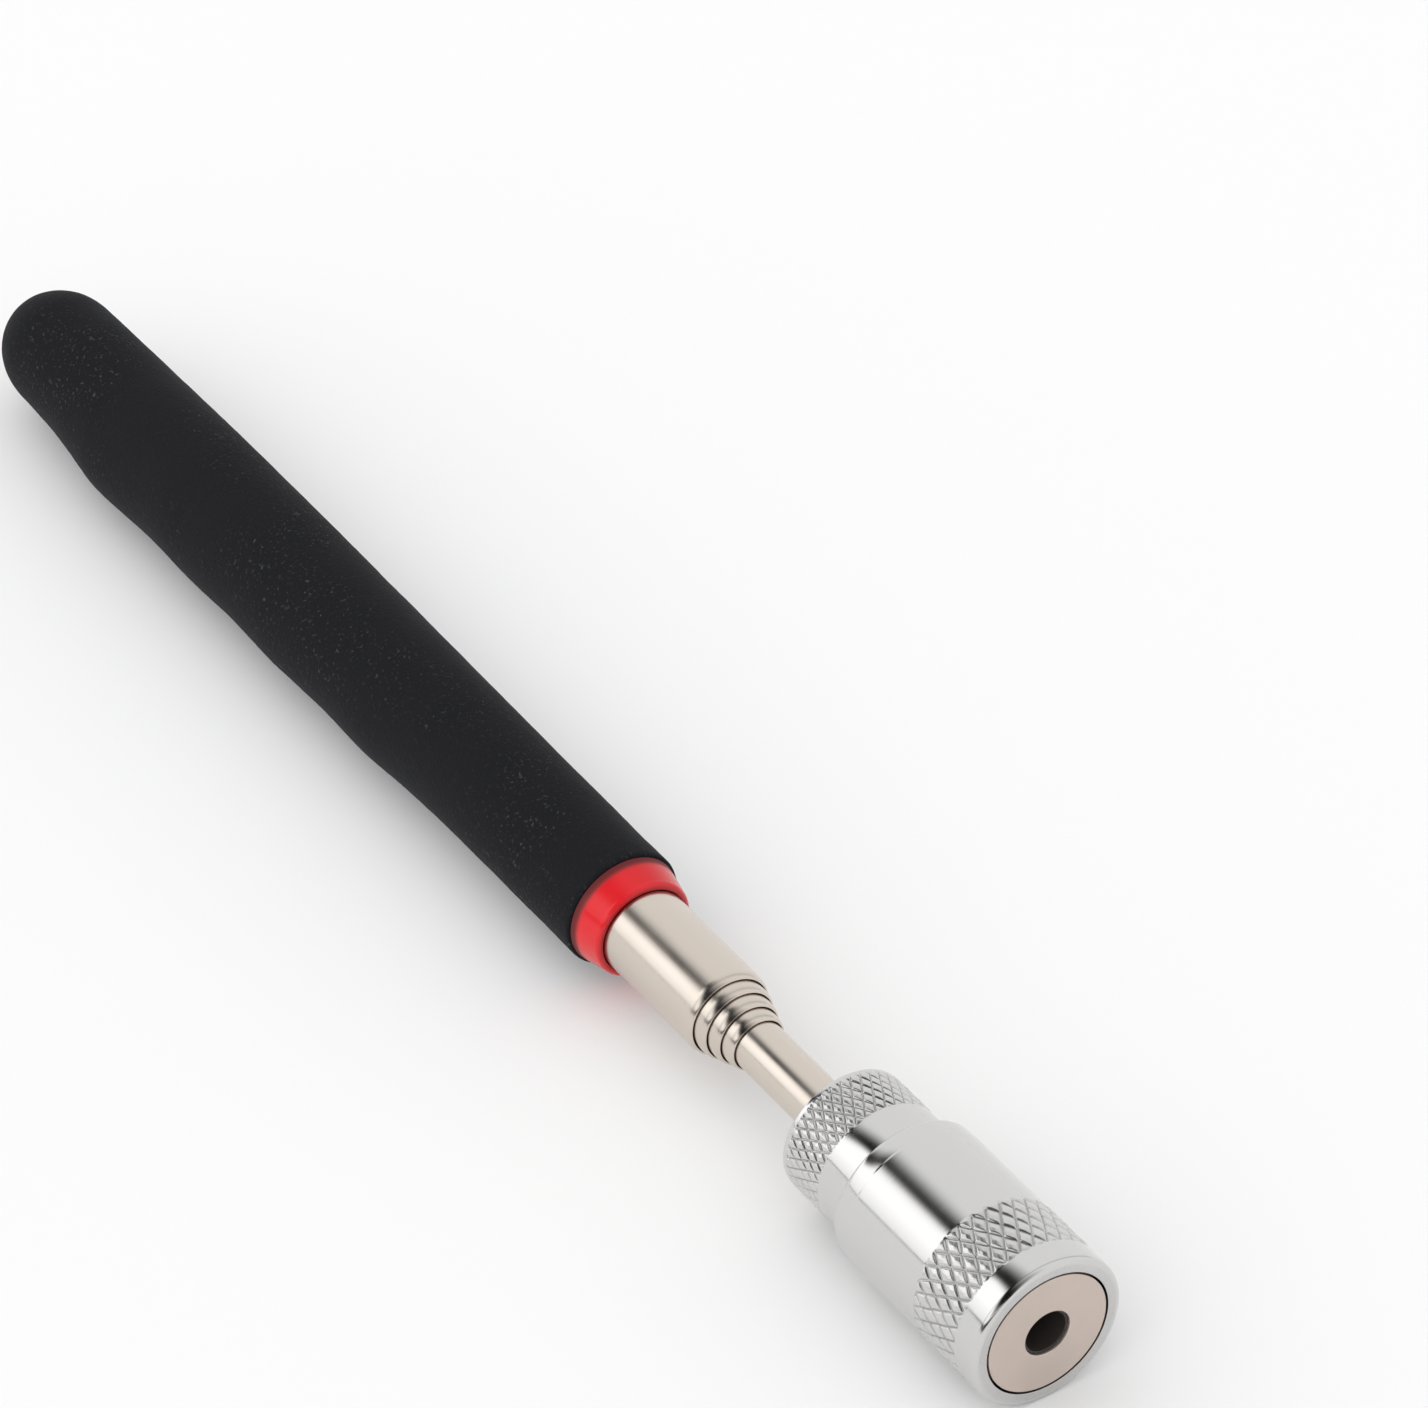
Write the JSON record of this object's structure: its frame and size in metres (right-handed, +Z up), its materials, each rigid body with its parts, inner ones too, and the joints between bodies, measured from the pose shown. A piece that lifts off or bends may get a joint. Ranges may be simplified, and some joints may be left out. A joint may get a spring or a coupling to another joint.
{
  "type": "telescopic magnetic pickup tool",
  "caption": "Telescopic pickup tool: a foam grip, nested tubes that slide out, and a knurled head that twists to switch its lamp and carries a ring magnet.",
  "frame": {"origin": "under the middle of the collapsed tool's length, on the surface it lies on", "axes": "+X along the tool from the grip to the magnet, +Z up, +Y to the left when looking along +X"},
  "size_m": [0.22, 0.019, 0.019],
  "materials": {
    "foam": "matte",
    "red_plastic": "gloss",
    "tube_steel": "satin",
    "head_chrome": "gloss",
    "magnet_plate": "satin",
    "brass": "satin",
    "spring_steel": "satin",
    "black_plastic": "matte",
    "white_plastic": "satin",
    "clear_lens": "gloss",
    "cell_can": "satin",
    "board": "satin"
  },
  "bodies": {
    "handle": {"foam_grip": "foam", "trim_ring": "red_plastic", "outer_tube": "tube_steel", "end_plug": "black_plastic"},
    "section_2": {"tube_2": "tube_steel", "friction_sleeve_2": "brass"},
    "section_3": {"tube_3": "tube_steel", "friction_sleeve_3": "brass"},
    "section_4": {"tube_4": "tube_steel", "friction_sleeve_4": "brass"},
    "section_5_slider": {"friction_sleeve_5": "brass"},
    "section_5": {"tube_5": "tube_steel", "rear_collar": "head_chrome", "stem_ferrule": "brass", "contact_spring": "spring_steel"},
    "battery_pack": {"battery_sleeve": "white_plastic", "button_cell_1": "cell_can", "button_cell_2": "cell_can", "button_cell_3": "cell_can", "button_cell_4": "cell_can"},
    "head": {"head_housing": "head_chrome", "ring_magnet": "magnet_plate", "led_lamp": "clear_lens", "led_holder": "black_plastic", "led_lead_anode": "spring_steel", "led_lead_cathode": "spring_steel", "circuit_board": "board", "contact_stud": "brass"}
  },
  "joints": [
    {"name": "extend_2", "type": "slide", "parent": "handle", "child": "section_2", "axis": [1, 0, 0], "range_m": [0, 0.142]},
    {"name": "extend_3", "type": "slide", "parent": "section_2", "child": "section_3", "axis": [1, 0, 0], "range_m": [0, 0.1439]},
    {"name": "extend_4", "type": "slide", "parent": "section_3", "child": "section_4", "axis": [1, 0, 0], "range_m": [0, 0.1458]},
    {"name": "extend_5", "type": "slide", "parent": "section_4", "child": "section_5_slider", "axis": [1, 0, 0], "range_m": [0, 0.1477]},
    {"name": "swivel", "type": "hinge", "parent": "section_5_slider", "child": "section_5", "pos_m": [0, 0, 0.0095], "axis": [1, 0, 0], "continuous": true},
    {"name": "head_advance", "type": "slide", "parent": "section_5", "child": "battery_pack", "axis": [1, 0, 0], "range_m": [0, 0.00075]},
    {"name": "head_twist", "type": "hinge", "parent": "battery_pack", "child": "head", "pos_m": [0.0934, 0, 0.0095], "axis": [1, 0, 0], "range_deg": [0, 360]}
  ],
  "couplings": [
    {"joint": "head_twist", "follows": "head_advance", "rad_per_m": 8377.6}
  ]
}
